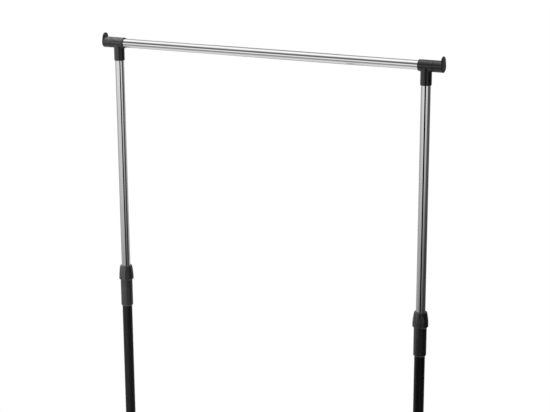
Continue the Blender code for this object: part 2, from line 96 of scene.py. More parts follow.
# Fineness of the meshes
FACETS = 96
TOOL_FACETS = 64
FINE_FACETS = 192
ARC_STEPS = 5
BELL_STEPS = 24
RIM_STEPS = 4
CREASE = math.radians(38)
# Most of an outline's side that a fillet takes, and how far off it is held, as a share of its own reach
FILLET_SHARE = 0.45
FILLET_HOLD = 0.08
# Softening of a moulding's creases, and the share of its faces that is kept
SOFTEN_FACTOR = 0.5
SOFTEN_PASSES = 6
KEPT_FACES = 0.3
# How far a cutter stands past what it cuts, and the length under which an edge is dissolved
CLEAR = 0.005
SLIVER = 0.000001

# Gaps of pieces that turn on each other, and of the sliding post in its nut, in metres
RUN_GAP = 0.0003
POST_GAP = 0.0005

# Twist locks: rounding of the nut's top, ledge under its web and foot of the sleeve, in metres
NUT_CROWN = 0.0012
NUT_LEDGE = 0.0012
SLEEVE_FOOT = 0.0008
# Shares of a nut's height at which its flutes end, fade and start, and the power that shapes them
FLUTE_TOP = 0.86
FLUTE_FADE = 0.3
FLUTE_FOOT = 0.1
FLUTE_SHAPE = 0.6

# Screws, in metres apart from the share of the head that is nearly flat
SCREW_HOLE = 0.0023
SCREW_SHANK = 0.002
SCREW_TIP = 0.002
SCREW_HEAD = 0.0024
SCREW_CROWN = 0.0012
SCREW_RISE = 0.0001
SCREW_FLAT = 0.5
RECESS_WIDTH = 0.001
RECESS_LENGTH = 0.0038
RECESS_DEPTH = 0.0013

# Caster stems and hoods, in metres
STEM_BORE = 0.0058
STEM_PIN = 0.004
STEM_FLANGE = 0.0014
STEM_LIP = 0.004
HOOD_EDGE = 0.0012
HOOD_BOSS = 0.009
HOOD_BOSS_EDGE = 0.0008
HOOD_BORE = 0.0043
HOOD_BORE_DEPTH = 0.034

# Wheels, in metres: faces, hub cap, rim, band of the dish that its ribs raise, and tread
WHEEL_FACE = 0.003
HUB_CAP_DROP = 0.001
HUB_DOME = 0.0008
RIM_LIP = 0.0012
RIM_STEP = 0.0004
DISH_BELOW = 0.0001
DISH_ABOVE = 0.0004
GROOVE_MOUTH = 0.0006
GROOVE_FLOOR = 0.0003
SCUFF_DEPTH = 0.0012
FULL_SCUFF_DEPTH = 0.0003
# Shares of a wheel: places of the tread's grooves, flat of the hub cap, wave that raises the ribs
TREAD_GROOVES = (0.66, 0.34)
HUB_FLAT = 0.55
RIB_START = 0.72
RIB_RAMP = 0.16

# Colours of dirt, the plastic's dust also a painted highlight on its tops, and the ranges of a noise's
# useful part and of a mask
PLASTIC_DUST_AND_HIGHLIGHT = (0.30, 0.29, 0.28)
POWDER_DUST = (0.28, 0.27, 0.26)
TREAD_SCUFF = (0.12, 0.115, 0.11)
NOISE_RANGE = (0.3, 0.7)
FULL_RANGE = (0.0, 1.0)


def middle(node):
    """Centre of a frame node's box."""
    low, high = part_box(node)
    return (low + high) / 2


def span(node):
    """Size of a frame node's box."""
    low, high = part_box(node)
    return high - low


def at(*place):
    """Move that carries a piece from the origin to its place."""
    return Matrix.Translation(place)


def facing(way):
    """Half turn for a piece made towards +X or +Y that faces the other way."""
    return Matrix.Rotation(0 if way > 0 else math.pi, 4, "Z")


def clamped(value):
    """Number held between 0 and 1."""
    return min(1, max(0, value))


RAIL_AXIS = middle("hanging_rail")
FOOT_AXIS = middle("left_foot_tube")
CHROME_RADIUS = span("hanging_rail").z / 2
BLACK_RADIUS = span("left_lower_post").x / 2
BAR_RADIUS = span("front_base_bar").z / 2
WHEEL_RADIUS = span("front_left_outer_wheel").z / 2


# Settings

def number(name, description, default, **kind):
    """Number setting."""
    return bpy.props.FloatProperty(name=name, description=description, default=default, **kind)


def length(name, description, default):
    """Length setting in metres."""
    return number(name, description, default, min=0, unit="LENGTH", precision=5)


def angle(name, description, degrees):
    """Angle setting, given in degrees."""
    return number(name, description, math.radians(degrees), subtype="ANGLE")


def power(name, description, default):
    """Power of a lamp in watts."""
    return number(name, description, default, unit="POWER")


def count(name, description, default):
    """Number of like features around a piece."""
    return bpy.props.IntProperty(name=name, description=description, default=default, min=3)


def colour(name, description, default):
    """Colour setting."""
    return bpy.props.FloatVectorProperty(
        name=name, description=description, default=default, min=0, max=1, size=3, subtype="COLOR")


class RackTubes(bpy.types.PropertyGroup):
    """Chrome and black tubes."""
    wall: length("Wall", "Wall of every tube", 0.001)
    cut_edge: length("Cut edge", "Rounding of the cut tube ends", 0.0003)
    chrome: colour("Chrome", "Plated rail and upper posts", (0.87, 0.87, 0.875))
    powder: colour("Powder coat", "Black lower posts, feet and bars", (0.0050, 0.0050, 0.0047))


class RackFittings(bpy.types.PropertyGroup):
    """Moulded fittings on the tubes."""
    gap: length("Seat gap", "Gap between a fitting and the tube in it", 0.0003)
    leg_radius: length("Leg radius", "Outside of the leg of a rail connector", 0.01295)
    post_web: length("Post web", "Wall between the rail's bore and the post's", 0.0014)
    tongue: length("Tongue", "Thickness of a hook's tongue", 0.004)
    tongue_tip: length("Tongue tip", "Radius of the tongue's round tip", 0.0105)
    tongue_edge: length("Tongue edge", "Rounding of the tongue's rim", 0.0014)
    plug_length: length("Plug", "Length of a hook's plug inside the rail", 0.014)
    post_socket: length("Post socket", "Outside radius of a hub's upright socket", 0.0155)
    socket_web: length("Socket web", "Wall under a post in its hub", 0.0022)
    bar_socket: length("Bar socket", "Outside radius of a joint's socket for a base bar", 0.0122)
    bar_web: length("Bar web", "Wall behind a base bar in its joint", 0.0032)
    cap_boss: length("Cap boss", "Radius of the boss that takes a caster stem", 0.012)
    edge: length("Edge", "Rounding of the outer edges", 0.0012)
    seam_edge: length("Seam edge", "Bevel of the edges where a hook meets its connector", 0.0004)
    nose: length("Nose", "Rounding of an end cap's nose", 0.006)
    skin: length("Skin", "Finest step of a moulding's surface", 0.0005)
    plastic: colour("Plastic", "Moulded black plastic", (0.0200, 0.0191, 0.0206))


class RackLocks(bpy.types.PropertyGroup):
    """Twist locks of the telescopic posts."""
    neck_radius: length("Neck", "Radius of the sleeve's neck inside the nut", 0.014)
    post_stop: length("Post stop", "Depth of the lower post's top below the sleeve's shoulder", 0.0073)
    nut_wall: length("Nut rim", "Width of the nut's top rim", 0.0035)
    nut_web: length("Nut web", "Height of the nut's top web", 0.0047)
    chamfer: length("Chamfer", "Slope at the lower edge of nut and sleeve", 0.0026)
    flutes: count("Flutes", "Grip flutes around a nut", 12)
    flute_depth: length("Flute depth", "Depth of a grip flute", 0.0005)
    turn: angle("Turn", "Where the grip ribs of a nut start", -68)


class RackCasters(bpy.types.PropertyGroup):
    """Twin-wheel casters and screws."""
    web: length("Web", "Thickness of the hood between its wheels", 0.013)
    fender: length("Fender", "Wall of the hood over a wheel", 0.0025)
    fender_gap: length("Fender gap", "Gap between tread and hood", 0.0015)
    skirt: length("Skirt", "Drop of the hood below the axle", 0.009)
    hub_radius: length("Hub", "Radius of a wheel's hub cap", 0.007)
    rim: length("Rim", "Height of a wheel's rim", 0.006)
    dish: length("Dish", "Depth of a wheel's dished face", 0.0035)
    axle: length("Axle", "Radius of the axle", 0.003)
    ribs: count("Ribs", "Ribs on a wheel's face", 6)
    rib_height: length("Rib height", "Height of a rib in the dished face", 0.0018)
    groove: length("Groove", "Depth of the two grooves in the tread", 0.0005)
    nylon: colour("Nylon", "Wheels", (0.046, 0.046, 0.048))
    zinc: colour("Zinc", "Stems, axles and screws", (0.60, 0.60, 0.58))


class RackStage(bpy.types.PropertyGroup):
    """Camera, light and floor."""
    eye: bpy.props.FloatVectorProperty(
        name="Eye", description="Where the camera stands", default=(1.5528, -2.9055, 1.9677),
        size=3, subtype="TRANSLATION", unit="LENGTH")
    yaw: angle("Yaw", "Turn of the view to the left of +Y", 27.71)
    pitch: angle("Pitch", "Tilt of the view below the horizon", 14.69)
    roll: angle("Roll", "Roll of the view", -0.229)
    lens: number("Lens", "Focal length in millimetres on a 36 mm sensor", 92.95)
    floor_radius: length("Floor", "Radius of the round floor", 2.6)
    shadow_radius: length("Shadow", "Distance at which the floor has faded to plain white", 1.15)
    floor: colour("Floor colour", "Pale floor", (0.84, 0.84, 0.84))
    bounce: number("Bounce", "Share of the floor's light that falls back on the rack", 0.4)
    fill: number("Fill", "Strength of the light from all round", 1.0)
    key_power: power("Key", "Power of the soft lamp on the left", 46)
    low_power: power("Low", "Power of the low soft lamp before the left post", 13)
    top_power: power("Top", "Power of the soft lamp overhead", 36)


# Meshes

def rounded(corners, closed):
    """Outline points from (radius, height, fillet) corners, with a point on both sides of a fillet."""
    points = []
    last = len(corners) - 1
    for index, (radius, height, fillet) in enumerate(corners):
        corner = Vector((radius, height))
        if fillet == 0 or (not closed and index in (0, last)):
            points.append(corner)
            continue
        before = Vector(corners[index - 1][:2]) - corner
        after = Vector(corners[(index + 1) % len(corners)][:2]) - corner
        room = FILLET_SHARE * before.length, FILLET_SHARE * after.length
        reach = min(fillet / math.tan(before.angle(after) / 2), *room)
        start = corner + before.normalized() * reach
        end = corner + after.normalized() * reach
        hold = FILLET_HOLD * reach
        points.append(start + before.normalized() * hold)
        for step in range(ARC_STEPS + 1):
            t = step / ARC_STEPS
            points.append((1 - t) ** 2 * start + 2 * t * (1 - t) * corner + t ** 2 * end)
        points.append(end + after.normalized() * hold)
    return points


def finished(bm):
    """Mesh from a bmesh, with its faces pointing out."""
    bmesh.ops.recalc_face_normals(bm, faces=bm.faces)
    mesh = bpy.data.meshes.new("piece")
    bm.to_mesh(mesh)
    bm.free()
    return mesh


def turned(corners, facets=FACETS, place=UPRIGHT, warp=None):
    """Mesh turned about Z from (radius, height, fillet) corners; warp may move a point by its angle."""
    closed = corners[0][0] > 0
    bm = bmesh.new()
    rings = []
    for point in rounded(corners, closed):
        if point.x == 0:
            rings.append([bm.verts.new((0, 0, point.y))] * facets)
            continue
        ring = []
        for step in range(facets):
            turn = 2 * math.pi * step / facets
            radius, height = warp(point.x, point.y, turn) if warp else point
            ring.append(bm.verts.new((radius * math.cos(turn), radius * math.sin(turn), height)))
        rings.append(ring)
    pairs = list(zip(rings, rings[1:]))
    if closed:
        pairs.append((rings[-1], rings[0]))
    for upper, lower in pairs:
        for step in range(facets):
            around = (step + 1) % facets
            corner_verts = (upper[step], lower[step], lower[around], upper[around])
            bm.faces.new(list(dict.fromkeys(corner_verts)))
    mesh = finished(bm)
    mesh.transform(place)
    return mesh


def stock(radius, low, high, edge, place=UPRIGHT):
    """Solid round bar with rounded ends, to be joined into a moulding."""
    corners = [(0, high, 0), (radius, high, edge), (radius, low, edge), (0, low, 0)]
    return turned(corners, TOOL_FACETS, place)


def drill(radius, low, high, place=UPRIGHT):
    """Plain round cutter."""
    return stock(radius, low, high, 0, place)


def screw_hole(surface, drop):
    """Cutter for a screw at the back, at a height from the piece's axis."""
    return drill(SCREW_HOLE, 0, surface + CLEAR, at(0, 0, drop) @ ALONG_Y)


def block(low, high):
    """Box cutter between two corners."""
    bm = bmesh.new()
    bmesh.ops.create_cube(bm, size=1)
    for vert in bm.verts:
        vert.co = [a + (b - a) * (c + 0.5) for a, b, c in zip(low, high, vert.co)]
    return finished(bm)


def carved(solids, hollows, skin=0.0):
    """Solids joined and hollowed; with a skin, every crease is softened as in a moulding."""
    objects = [bpy.data.objects.new("stock", mesh) for mesh in solids + hollows]
    for obj in objects:
        bpy.context.scene.collection.objects.link(obj)
    modifiers = objects[0].modifiers
    for index, tool in enumerate(objects[1:], start=1):
        step = modifiers.new("step", "BOOLEAN")
        step.operation = "UNION" if index < len(solids) else "DIFFERENCE"
        step.object = tool
    if skin:
        remesh = modifiers.new("skin", "REMESH")
        remesh.mode = "VOXEL"
        remesh.voxel_size = skin
        smooth = modifiers.new("soften", "SMOOTH")
        smooth.factor = SOFTEN_FACTOR
        smooth.iterations = SOFTEN_PASSES
        modifiers.new("thin", "DECIMATE").ratio = KEPT_FACES
    shape = objects[0].evaluated_get(bpy.context.evaluated_depsgraph_get())
    mesh = bpy.data.meshes.new_from_object(shape)
    for obj in objects:
        bpy.data.objects.remove(obj)
    if not mesh.polygons:
        raise RuntimeError("a carved piece came out empty")
    bm = bmesh.new()
    bm.from_mesh(mesh)
    bpy.data.meshes.remove(mesh)
    bmesh.ops.dissolve_degenerate(bm, dist=SLIVER, edges=bm.edges)
    return finished(bm)


# Materials

def add_node(tree, kind, inputs=None, **values):
    """Shader node with its settings, and its inputs set or linked."""
    node = tree.nodes.new(kind)
    for key, value in values.items():
        setattr(node, key, value)
    for key, value in (inputs or {}).items():
        if isinstance(value, bpy.types.NodeSocket):
            tree.links.new(value, node.inputs[key])
        else:
            node.inputs[key].default_value = value
    return node


def calc(tree, operation, *values):
    """Result of a maths node."""
    return add_node(tree, "ShaderNodeMath", dict(enumerate(values)), operation=operation).outputs[0]


def vector_calc(tree, operation, *values):
    """Result of a vector maths node: a plain value for a length or a dot product."""
    node = add_node(tree, "ShaderNodeVectorMath", dict(enumerate(values)), operation=operation)
    return node.outputs["Value" if operation in ("LENGTH", "DOT_PRODUCT") else "Vector"]


def remap(tree, value, low, high, to_low=0.0, to_high=1.0):
    """Value carried from one range to another, held at both ends."""
    inputs = {"Value": value, "From Min": low, "From Max": high, "To Min": to_low, "To Max": to_high}
    return add_node(tree, "ShaderNodeMapRange", inputs).outputs["Result"]


def mixed(tree, share, under, over):
    """Colour between two colours, each an output or a plain tint, by a mask."""
    first, second = (
        side if isinstance(side, bpy.types.NodeSocket) else (*side, 1) for side in (under, over)
    )
    inputs = {0: share, 6: first, 7: second}
    return add_node(tree, "ShaderNodeMix", inputs, data_type="RGBA").outputs[2]


def scaled(tint, factor):
    """Colour made lighter or darker."""
    return tuple(min(1.0, part * factor) for part in tint)


def own_place(tree):
    """Coordinates of the piece itself."""
    return add_node(tree, "ShaderNodeTexCoord").outputs["Object"]


def split_vector(tree, vector):
    """X, Y and Z of a vector."""
    return add_node(tree, "ShaderNodeSeparateXYZ", {0: vector}).outputs


def noise(tree, scale, detail=4.0, rough=0.55, vector=None):
    """Noise over the piece's own coordinates."""
    if vector is None:
        vector = own_place(tree)
    inputs = {"Vector": vector, "Scale": scale, "Detail": detail, "Roughness": rough}
    return add_node(tree, "ShaderNodeTexNoise", inputs).outputs["Fac"]


def new_group(name, inputs, outputs):
    """Empty shader group with named sockets, its input and its output node."""
    tree = bpy.data.node_groups.new(name, "ShaderNodeTree")
    for socket_name, default in inputs.items():
        socket = tree.interface.new_socket(socket_name, in_out="INPUT", socket_type="NodeSocketFloat")
        socket.default_value = default
    for socket_name in outputs:
        tree.interface.new_socket(socket_name, in_out="OUTPUT", socket_type="NodeSocketFloat")
    return tree, tree.nodes.new("NodeGroupInput").outputs, tree.nodes.new("NodeGroupOutput").inputs


def grain_group(name):
    """Fine grain of a moulded or coated surface, and slow drift of its tone."""
    tree, given, result = new_group(name, {"Scale": 2000.0, "Drift": 60.0}, ("Height", "Tone"))
    tree.links.new(noise(tree, given["Scale"], 5.0, 0.6), result["Height"])
    tree.links.new(noise(tree, given["Drift"], 3.0), result["Tone"])
    return tree


def hairline_group(name):
    """Fine lines along a piece's length, from drawing, polishing and hangers."""
    tree, given, result = new_group(name, {"Scale": 1500.0, "Stretch": 0.02}, ("Height", "Lines"))
    place = split_vector(tree, own_place(tree))
    drawn = calc(tree, "MULTIPLY", place["Z"], given["Stretch"])
    inputs = {"X": place["X"], "Y": place["Y"], "Z": drawn}
    along = add_node(tree, "ShaderNodeCombineXYZ", inputs).outputs[0]
    lines = noise(tree, given["Scale"], 3.0, 0.7, along)
    tree.links.new(lines, result["Height"])
    tree.links.new(remap(tree, lines, 0.55, 0.75), result["Lines"])
    return tree


def handling_group(name):
    """Faint patches where hands have been; more cover lowers the level at which a patch starts."""
    tree, given, result = new_group(name, {"Scale": 14.0, "Cover": 0.5}, ("Mask",))
    patches = noise(tree, given["Scale"], 5.0, 0.6)
    low = calc(tree, "SUBTRACT", 0.75, calc(tree, "MULTIPLY", given["Cover"], 0.5))
    tree.links.new(remap(tree, patches, low, calc(tree, "ADD", low, 0.2)), result["Mask"])
    return tree


def edge_group(name):
    """Edges rubbed by use, broken up by a fine noise."""
    tree, given, result = new_group(name, {"Start": 0.52, "Amount": 0.5}, ("Mask",))
    point = add_node(tree, "ShaderNodeNewGeometry").outputs["Pointiness"]
    edge = remap(tree, point, given["Start"], calc(tree, "ADD", given["Start"], 0.08))
    broken = remap(tree, noise(tree, 420.0), 0.35, 0.65, 0.2, 1.0)
    amount = calc(tree, "MULTIPLY", given["Amount"], calc(tree, "MULTIPLY", edge, broken))
    tree.links.new(amount, result["Mask"])
    return tree


def dust_and_highlight_group(name):
    """Dust that settles on faces that look up; laid on thickly it also paints a highlight on their tops.
    """
    tree, given, result = new_group(name, {"Amount": 0.1, "Scale": 90.0}, ("Mask",))
    normal = add_node(tree, "ShaderNodeNewGeometry").outputs["Normal"]
    faces = remap(tree, split_vector(tree, normal)["Z"], 0.35, 0.95)
    specks = remap(tree, noise(tree, given["Scale"], 8.0, 0.7), 0.4, 0.7, 0.3, 1.0)
    amount = calc(tree, "MULTIPLY", given["Amount"], calc(tree, "MULTIPLY", faces, specks))
    tree.links.new(amount, result["Mask"])
    return tree


EFFECTS = {
    "surface_grain": grain_group, "hairlines": hairline_group, "handling_marks": handling_group,
    "edge_wear": edge_group, "settled_dust": dust_and_highlight_group,
}


def effect(tree, name, **values):
    """Shared effect placed in a material with its own values."""
    made = bpy.data.node_groups.get(name) or EFFECTS[name](name)
    return add_node(tree, "ShaderNodeGroup", values, node_tree=made).outputs


def new_material(name, **constants):
    """Material with a Principled BSDF whose constants are set, its tree and its shader's sockets."""
    material = bpy.data.materials.new(name)
    material.use_nodes = True
    shader = material.node_tree.nodes["Principled BSDF"].inputs
    for socket, value in constants.items():
        shader[socket.replace("_", " ")].default_value = value
    return material, material.node_tree, shader


def drifting(tree, tone, tint, low, high):
    """Tint that drifts with a tone between a darker and a lighter one."""
    return mixed(tree, tone, scaled(tint, low), scaled(tint, high))


def roughen(tree, shader, tone, rough, mask, change, tones=NOISE_RANGE):
    """Roughness that drifts with a tone over a range, and changes under a mask."""
    drift = remap(tree, tone, *tones, *rough)
    total = calc(tree, "ADD", drift, calc(tree, "MULTIPLY", mask, change))
    tree.links.new(total, shader["Roughness"])


def bump(tree, shader, height, strength, distance):
    """Surface relief on a shader's normal."""
    inputs = {"Height": height, "Strength": strength, "Distance": distance}
    tree.links.new(add_node(tree, "ShaderNodeBump", inputs).outputs["Normal"], shader["Normal"])


def chrome_material(scene, name):
    """Bright plated tube with hairlines and faint hand marks."""
    tint = tuple(scene.rack_tubes.chrome)
    material, tree, shader = new_material(name, Metallic=1.0)
    marks = effect(tree, "handling_marks", Scale=16.0, Cover=0.45)["Mask"]
    lines = effect(tree, "hairlines", Scale=1400.0, Stretch=0.015)
    tree.links.new(drifting(tree, marks, tint, 1.0, 0.94), shader["Base Color"])
    roughen(tree, shader, marks, (0.045, 0.10), lines["Lines"], 0.03, FULL_RANGE)
    bump(tree, shader, lines["Height"], strength=0.06, distance=0.00002)
    return material


def plastic_material(scene, name):
    """Satin moulded plastic: fine grain, rubbed edges, and dust on faces that look up, laid on thick
    enough to paint a highlight on their tops.
    """
    tint = tuple(scene.rack_fittings.plastic)
    material, tree, shader = new_material(name, Specular_IOR_Level=0.45)
    grain = effect(tree, "surface_grain", Scale=2600.0, Drift=70.0)
    wear = effect(tree, "edge_wear", Start=0.53, Amount=0.16)["Mask"]
    # dust on faces that look up, laid on thickly so that it paints a highlight on the tops
    dust_and_highlight = effect(tree, "settled_dust", Amount=0.11, Scale=160.0)["Mask"]
    body = drifting(tree, grain["Tone"], tint, 0.85, 1.2)
    rubbed = mixed(tree, wear, body, scaled(tint, 2.6))
    # the pale dust colour also lightens the tops as a painted highlight
    tree.links.new(mixed(tree, dust_and_highlight, rubbed, PLASTIC_DUST_AND_HIGHLIGHT), shader["Base Color"])
    roughen(tree, shader, grain["Tone"], (0.15, 0.20), wear, -0.1)
    bump(tree, shader, grain["Height"], strength=0.06, distance=0.00005)
    return material


def powder_material(scene, name):
    """Black powder coat with its orange-peel surface."""
    tint = tuple(scene.rack_tubes.powder)
    material, tree, shader = new_material(name, Specular_IOR_Level=0.25)
    grain = effect(tree, "surface_grain", Scale=900.0, Drift=24.0)
    marks = effect(tree, "handling_marks", Scale=20.0, Cover=0.35)["Mask"]
    # dust on faces that look up, laid on thinner than on the plastic
    dust_and_highlight = effect(tree, "settled_dust", Amount=0.06, Scale=120.0)["Mask"]
    body = drifting(tree, grain["Tone"], tint, 0.8, 1.3)
    tree.links.new(mixed(tree, dust_and_highlight, body, POWDER_DUST), shader["Base Color"])
    roughen(tree, shader, grain["Tone"], (0.30, 0.38), marks, 0.06)
    bump(tree, shader, grain["Height"], strength=0.12, distance=0.00008)
    return material


def nylon_material(scene, name):
    """Wheel nylon, its tread scuffed and dusty from rolling."""
    tint = tuple(scene.rack_casters.nylon)
    material, tree, shader = new_material(name)
    grain = effect(tree, "surface_grain", Scale=1800.0, Drift=140.0)
    wear = effect(tree, "edge_wear", Start=0.53, Amount=0.3)["Mask"]
    flat = vector_calc(tree, "MULTIPLY", own_place(tree), (1, 1, 0))
    reach = vector_calc(tree, "LENGTH", flat)
    tread = remap(tree, reach, WHEEL_RADIUS - SCUFF_DEPTH, WHEEL_RADIUS - FULL_SCUFF_DEPTH)
    scuff = calc(tree, "MULTIPLY", tread, remap(tree, grain["Tone"], 0.35, 0.65, 0.25, 0.8))
    body = drifting(tree, grain["Tone"], tint, 0.85, 1.2)
    rubbed = mixed(tree, wear, body, scaled(tint, 2.4))
    tree.links.new(mixed(tree, scuff, rubbed, TREAD_SCUFF), shader["Base Color"])
    roughen(tree, shader, grain["Tone"], (0.40, 0.50), scuff, 0.25)
    bump(tree, shader, grain["Height"], strength=0.2, distance=0.0001)
    return material


def zinc_material(scene, name):
    """Zinc-plated steel with soft spangle and fine turning lines."""
    tint = tuple(scene.rack_casters.zinc)
    material, tree, shader = new_material(name, Metallic=1.0)
    grain = effect(tree, "surface_grain", Scale=1500.0, Drift=380.0)
    lines = effect(tree, "hairlines", Scale=3000.0, Stretch=8.0)
    tree.links.new(drifting(tree, grain["Tone"], tint, 0.8, 1.15), shader["Base Color"])
    roughen(tree, shader, grain["Tone"], (0.26, 0.38), lines["Lines"], 0.08)
    bump(tree, shader, lines["Height"], strength=0.1, distance=0.00003)
    return material


FINISHES = {
    "chrome": chrome_material, "moulded_plastic": plastic_material, "powder_coat": powder_material,
    "nylon": nylon_material, "zinc_steel": zinc_material,
}


def finish(scene, slot):
    """Material of a slot, made once."""
    name = f"rack_{slot}"
    return bpy.data.materials.get(name) or FINISHES[slot](scene, name)


# Pieces

def add_piece(context, node, mesh, slot, place):
    """Finished piece that stands for one frame node and rides on its body."""
    if not mesh.materials:
        mesh.materials.append(finish(context.scene, slot))
        mesh.shade_smooth()
        mesh.set_sharp_from_angle(angle=CREASE)
    obj = bpy.data.objects.new(f"{node}_finish", mesh)
    context.scene.collection.objects.link(obj)
    obj.matrix_world = place
    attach(obj, BODY_OF[node])
    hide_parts(node)


def tube_piece(context, node, slot):
    """Tube with rounded cut ends, along the longest side of its node."""
    tubes = context.scene.rack_tubes
    size = span(node)
    axis = max(range(3), key=lambda index: size[index])
    radius, half = size[(axis + 1) % 3] / 2, size[axis] / 2
    bore, edge = radius - tubes.wall, tubes.cut_edge
    mesh = turned([(radius, half, edge), (radius, -half, edge), (bore, -half, edge), (bore, half, edge)])
    add_piece(context, node, mesh, slot, at(*middle(node)) @ LAID_ALONG[axis])


class RACK_OT_chrome_tubes(bpy.types.Operator):
    """Chrome rail and upper posts"""
    bl_idname = "rack.chrome_tubes"
    bl_label = "Chrome tubes"

    def execute(self, context):
        for node in CHROME_TUBES:
            tube_piece(context, node, "chrome")
        return {"FINISHED"}


class RACK_OT_black_tubes(bpy.types.Operator):
    """Black lower posts, foot tubes and base bars"""
    bl_idname = "rack.black_tubes"
    bl_label = "Black tubes"

    def execute(self, context):
        for node in BLACK_TUBES:
            tube_piece(context, node, "powder_coat")
        return {"FINISHED"}


def connector_seam(radius, seam, bevel, place):
    """Cutter for all of a connector past its seam, which bevels the edge there."""
    over = radius + CLEAR
    corners = [
        (0, seam + CLEAR, 0), (over, seam + CLEAR, 0), (over, seam - bevel - CLEAR, 0),
        (radius - bevel, seam, 0), (0, seam, 0),
    ]
    return turned(corners, TOOL_FACETS, place @ ALONG_X)


class RACK_OT_rail_connectors(bpy.types.Operator):
    """Moulded T fittings that join the rail to the upper posts"""
    bl_idname = "rack.rail_connectors"
    bl_label = "Rail connectors"

    def execute(self, context):
        fittings = context.scene.rack_fittings
        bore = CHROME_RADIUS + fittings.gap
        for side, way in SIDES:
            node = f"{side}_rail_connector"
            low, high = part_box(node)
            origin = Vector((middle(f"{side}_upper_post").x, RAIL_AXIS.y, RAIL_AXIS.z))
            low -= origin
            high -= origin
            post_screw = middle(f"{side}_post_screw").z - origin.z
            seam, open_end = (high.x, low.x) if way > 0 else (low.x, high.x)
            ends = sorted((open_end, seam + way * CLEAR / 2))
            moulding = carved(
                [
                    stock(high.z, *ends, fittings.edge, ALONG_X),
                    stock(fittings.leg_radius, low.z, 0, fittings.edge),
                ],
                [
                    drill(bore, low.x - CLEAR, high.x + CLEAR, ALONG_X),
                    drill(bore, low.z - CLEAR, -bore - fittings.post_web),
                    screw_hole(high.z, 0),
                    screw_hole(fittings.leg_radius, post_screw),
                ],
                fittings.skin,
            )
            cutter = connector_seam(high.z, abs(seam), fittings.seam_edge, facing(way))
            mesh = carved([moulding], [cutter])
            add_piece(context, node, mesh, "moulded_plastic", at(*origin))
        return {"FINISHED"}


def tongue_plate(fittings, base_radius, rise, start):
    """Upright plate of a hook: a circle drawn up to a smaller round tip, its outer rim rounded."""
    tip_height = rise - fittings.tongue_tip
    lean = math.asin((base_radius - fittings.tongue_tip) / tip_height)
    steps = TOOL_FACETS // 2
    bm = bmesh.new()
    outline = []
    for centre, radius, first, sweep in (
        (0, base_radius, math.pi - lean, math.pi + 2 * lean),
        (tip_height, fittings.tongue_tip, lean, math.pi - 2 * lean),
    ):
        for step in range(steps + 1):
            turn = first + sweep * step / steps
            y, z = radius * math.cos(turn), centre + radius * math.sin(turn)
            outline.append(bm.verts.new((start, y, z)))
    face = bm.faces.new(outline)
    grown = bmesh.ops.extrude_face_region(bm, geom=[face])["geom"]
    outer = [item for item in grown if isinstance(item, bmesh.types.BMVert)]
    bmesh.ops.translate(bm, verts=outer, vec=(fittings.tongue, 0, 0))
    rim = [edge for edge in bm.edges if all(vert in outer for vert in edge.verts)]
    bmesh.ops.bevel(
        bm, geom=rim, offset=fittings.tongue_edge, segments=RIM_STEPS, affect="EDGES", profile=0.5)
    return finished(bm)


class RACK_OT_end_hooks(bpy.types.Operator):
    """Hooks with an upturned tongue at the rail's ends"""
    bl_idname = "rack.end_hooks"
    bl_label = "End hooks"

    def execute(self, context):
        fittings = context.scene.rack_fittings
        edge, bevel = fittings.edge, fittings.seam_edge
        for side, way in SIDES:
            node = f"{side}_end_hook"
            low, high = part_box(node)
            connector_low, connector_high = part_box(f"{side}_rail_connector")
            inner = max(connector_high.x, -connector_low.x) + fittings.gap
            plate_start = max(high.x, -low.x) - inner - fittings.tongue
            stub, stub_end = connector_high.z - RAIL_AXIS.z, plate_start + fittings.tongue / 2
            plug = CHROME_RADIUS - context.scene.rack_tubes.wall - fittings.gap
            plug_end, start = -fittings.plug_length, -CLEAR / 2
            body = turned([
                (0, stub_end, 0), (stub, stub_end, 0), (stub, start, 0), (plug, start, 0),
                (plug, plug_end, edge), (0, plug_end, 0),
            ], TOOL_FACETS, ALONG_X)
            plate = tongue_plate(fittings, RAIL_AXIS.z - low.z, high.z - RAIL_AXIS.z, plate_start)
            over, neck = stub + CLEAR, plug + fittings.gap / 2
            seam = turned([
                (over, bevel + CLEAR, 0), (over, -CLEAR, 0), (neck, -CLEAR, 0), (neck, 0, 0),
                (stub - bevel, 0, 0),
            ], TOOL_FACETS, ALONG_X)
            mesh = carved([carved([body, plate], [], fittings.skin)], [seam])
            place = at(way * inner, RAIL_AXIS.y, RAIL_AXIS.z) @ facing(way)
            add_piece(context, node, mesh, "moulded_plastic", place)
        return {"FINISHED"}


def nut_mesh(locks, height, radius):
    """Bell-shaped nut with shallow grip flutes that fade out at the top and the lower edge."""
    hole = CHROME_RADIUS + POST_GAP
    top = hole + locks.nut_wall
    bell_low = 2 * locks.chamfer
    bell = []
    for step in range(BELL_STEPS + 1):
        above = 1 - step / BELL_STEPS
        reach, level = radius - (radius - top) * above ** 2, bell_low + (height - bell_low) * above
        bell.append((reach, level, NUT_CROWN if step == 0 else 0))
    bore, web = locks.neck_radius + RUN_GAP, height - locks.nut_web
    corners = bell + [
        (radius, locks.chamfer, 0.0008), (radius - locks.chamfer, 0, 0.0006), (bore, 0, 0.0004),
        (bore, height - 3 * locks.nut_web, 0), (hole + NUT_LEDGE, web, 0), (hole, web, 0),
        (hole, height, 0.0006),
    ]

    def fluted(reach, level, turn):
        if reach < top:
            return reach, level
        wave = 0.5 - 0.5 * math.cos(locks.flutes * (turn - locks.turn))
        fade = clamped((height * FLUTE_TOP - level) / (height * FLUTE_FADE))
        fade *= clamped((level - FLUTE_FOOT * height) / (FLUTE_FOOT * height))
        return reach - locks.flute_depth * fade * wave ** FLUTE_SHAPE, level

    return turned(corners, FINE_FACETS, warp=fluted)


